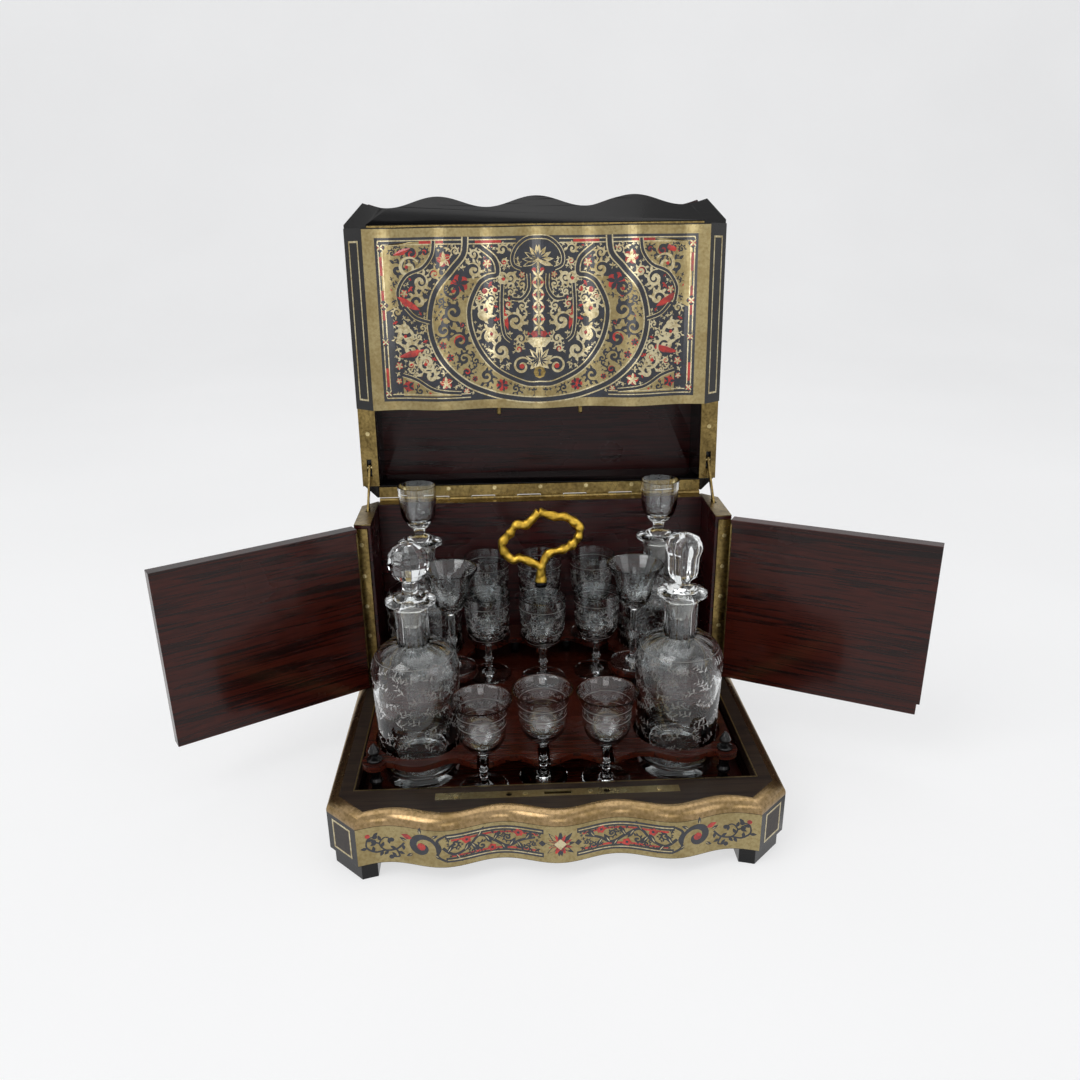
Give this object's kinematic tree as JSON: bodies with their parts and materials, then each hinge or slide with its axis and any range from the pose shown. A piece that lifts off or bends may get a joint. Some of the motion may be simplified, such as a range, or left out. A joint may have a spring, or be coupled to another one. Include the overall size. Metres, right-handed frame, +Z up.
{
  "type": "antique liqueur cabinet with glasses",
  "caption": "Antique liqueur cabinet, open: hinged lid with folding front flap, swinging side doors, lift-out stand with decanters and stemmed glasses.",
  "frame": {"origin": "on the surface it stands on, in the cabinet's middle plane and below the middle of the open cabinet's box, 36.1 mm behind the middle of the plinth", "axes": "+X to the right as seen from the front, +Y from the wavy front to the back, +Z up; the rest pose is the open cabinet"},
  "size_m": [0.617, 0.3488, 0.465],
  "materials": {
    "ebonised_wood": "polished, black",
    "rosewood": "French polished",
    "stand_wood": "French polished",
    "marquetry": "brass and dark inlay, polished",
    "brass": "old polish, slightly tarnished",
    "gilt_brass": "gilt, satin",
    "glass": "clear, engraved"
  },
  "bodies": {
    "case": {"feet": "ebonised_wood", "plinth_front_rail": "marquetry", "plinth_side_rails": "ebonised_wood", "plinth_back_rail": "ebonised_wood", "plinth_floor": "rosewood", "ledge_frame": "rosewood", "plinth_moulding": "brass", "lock_strip": "brass", "case_screws": "brass", "back_panel": "rosewood", "left_post": "rosewood", "right_post": "rosewood", "post_caps": "brass", "lid_hinge_case_leaf": "brass", "door_hinge_post_leaves": "brass", "hinge_pins": "brass"},
    "lid": {"lid_top_board": "ebonised_wood", "lid_front_rail": "ebonised_wood", "lid_side_rails": "ebonised_wood", "lid_back_rail": "ebonised_wood", "lid_rim_plates": "brass", "lid_hinge_lid_leaf": "brass", "flap_hinge_lid_leaf": "brass", "lid_screws": "brass"},
    "flap": {"flap_panel": "marquetry", "flap_hinge_leaf": "brass", "flap_lock": "brass", "flap_dowels": "brass"},
    "lock_bolt": {"lock_bolt": "brass"},
    "left_stay": {"left_stay": "brass"},
    "right_stay": {"right_stay": "brass"},
    "left_door": {"left_door": "rosewood", "left_door_hinge_leaf": "brass"},
    "right_door": {"right_door": "rosewood", "right_door_hinge_leaf": "brass"},
    "stand": {"stand_base": "stand_wood", "stand_gallery": "stand_wood", "stand_shelf": "stand_wood", "stand_columns": "ebonised_wood", "handle_post": "ebonised_wood", "branch_handle": "gilt_brass"},
    "decanter_front_left": {"decanter_front_left": "glass"},
    "stopper_front_left": {"stopper_front_left": "glass"},
    "decanter_front_right": {"decanter_front_right": "glass"},
    "stopper_front_right": {"stopper_front_right": "glass"},
    "decanter_rear_left": {"decanter_rear_left": "glass"},
    "stopper_rear_left": {"stopper_rear_left": "glass"},
    "decanter_rear_right": {"decanter_rear_right": "glass"},
    "stopper_rear_right": {"stopper_rear_right": "glass"},
    "coupe_front_left": {"coupe_front_left": "glass"},
    "coupe_front_middle": {"coupe_front_middle": "glass"},
    "coupe_front_right": {"coupe_front_right": "glass"},
    "coupe_rear_left": {"coupe_rear_left": "glass"},
    "coupe_rear_right": {"coupe_rear_right": "glass"},
    "goblet_middle_left": {"goblet_middle_left": "glass"},
    "goblet_middle_centre": {"goblet_middle_centre": "glass"},
    "goblet_middle_right": {"goblet_middle_right": "glass"},
    "goblet_rear_left": {"goblet_rear_left": "glass"},
    "goblet_rear_centre": {"goblet_rear_centre": "glass"},
    "goblet_rear_right": {"goblet_rear_right": "glass"}
  },
  "joints": [
    {"name": "lid_hinge", "type": "hinge", "parent": "case", "child": "lid", "pos_m": [0, 0.1001, 0.2065], "axis": [-1, 0, 0], "range_deg": [-76, 0]},
    {"name": "flap_hinge", "type": "hinge", "parent": "lid", "child": "flap", "pos_m": [0, 0.11445, 0.44106], "axis": [-1, 0, 0], "range_deg": [0, 90]},
    {"name": "left_stay_pivot", "type": "hinge", "parent": "lid", "child": "left_stay", "pos_m": [-0.155, 0.10463, 0.23628], "axis": [-1, 0, 0], "range_deg": [-1, 41]},
    {"name": "right_stay_pivot", "type": "hinge", "parent": "lid", "child": "right_stay", "pos_m": [0.155, 0.10463, 0.23628], "axis": [-1, 0, 0], "range_deg": [-1, 41]},
    {"name": "left_door_hinge", "type": "hinge", "parent": "case", "child": "left_door", "pos_m": [-0.1642, 0.0319, 0.1305], "axis": [0, 0, 1], "range_deg": [-30, 58]},
    {"name": "right_door_hinge", "type": "hinge", "parent": "case", "child": "right_door", "pos_m": [0.1642, 0.0319, 0.1305], "axis": [0, 0, 1], "range_deg": [-62, 30]},
    {"name": "lock_bolt_slide", "type": "slide", "parent": "flap", "child": "lock_bolt", "axis": [0, -0.061, -0.9981], "range_m": [0, 0.006]},
    {"name": "stand_lift", "type": "slide", "parent": "case", "child": "stand", "axis": [0, 0, 1], "range_m": [0, 0.06]},
    {"name": "decanter_front_left_lift", "type": "slide", "parent": "stand", "child": "decanter_front_left", "axis": [0, 0, 1], "range_m": [0, 0.08]},
    {"name": "stopper_front_left_lift", "type": "slide", "parent": "decanter_front_left", "child": "stopper_front_left", "axis": [0, 0, 1], "range_m": [0, 0.03]},
    {"name": "decanter_front_right_lift", "type": "slide", "parent": "stand", "child": "decanter_front_right", "axis": [0, 0, 1], "range_m": [0, 0.08]},
    {"name": "stopper_front_right_lift", "type": "slide", "parent": "decanter_front_right", "child": "stopper_front_right", "axis": [0, 0, 1], "range_m": [0, 0.03]},
    {"name": "decanter_rear_left_lift", "type": "slide", "parent": "stand", "child": "decanter_rear_left", "axis": [0, 0, 1], "range_m": [0, 0.028]},
    {"name": "stopper_rear_left_lift", "type": "slide", "parent": "decanter_rear_left", "child": "stopper_rear_left", "axis": [0, 0, 1], "range_m": [0, 0.03]},
    {"name": "decanter_rear_right_lift", "type": "slide", "parent": "stand", "child": "decanter_rear_right", "axis": [0, 0, 1], "range_m": [0, 0.028]},
    {"name": "stopper_rear_right_lift", "type": "slide", "parent": "decanter_rear_right", "child": "stopper_rear_right", "axis": [0, 0, 1], "range_m": [0, 0.03]},
    {"name": "coupe_front_left_lift", "type": "slide", "parent": "stand", "child": "coupe_front_left", "axis": [0, 0, 1], "range_m": [0, 0.012]},
    {"name": "coupe_front_middle_lift", "type": "slide", "parent": "stand", "child": "coupe_front_middle", "axis": [0, 0, 1], "range_m": [0, 0.012]},
    {"name": "coupe_front_right_lift", "type": "slide", "parent": "stand", "child": "coupe_front_right", "axis": [0, 0, 1], "range_m": [0, 0.012]},
    {"name": "coupe_rear_left_lift", "type": "slide", "parent": "stand", "child": "coupe_rear_left", "axis": [0, 0, 1], "range_m": [0, 0.012]},
    {"name": "coupe_rear_right_lift", "type": "slide", "parent": "stand", "child": "coupe_rear_right", "axis": [0, 0, 1], "range_m": [0, 0.012]},
    {"name": "goblet_middle_left_lift", "type": "slide", "parent": "stand", "child": "goblet_middle_left", "axis": [0, 0, 1], "range_m": [0, 0.008]},
    {"name": "goblet_middle_centre_lift", "type": "slide", "parent": "stand", "child": "goblet_middle_centre", "axis": [0, 0, 1], "range_m": [0, 0.07]},
    {"name": "goblet_middle_right_lift", "type": "slide", "parent": "stand", "child": "goblet_middle_right", "axis": [0, 0, 1], "range_m": [0, 0.008]},
    {"name": "goblet_rear_left_lift", "type": "slide", "parent": "stand", "child": "goblet_rear_left", "axis": [0, 0, 1], "range_m": [0, 0.07]},
    {"name": "goblet_rear_centre_lift", "type": "slide", "parent": "stand", "child": "goblet_rear_centre", "axis": [0, 0, 1], "range_m": [0, 0.07]},
    {"name": "goblet_rear_right_lift", "type": "slide", "parent": "stand", "child": "goblet_rear_right", "axis": [0, 0, 1], "range_m": [0, 0.07]}
  ],
  "couplings": [
    {"joint": "left_stay_pivot", "follows": "lid_hinge", "ratio": -0.519},
    {"joint": "right_stay_pivot", "follows": "lid_hinge", "ratio": -0.519}
  ]
}
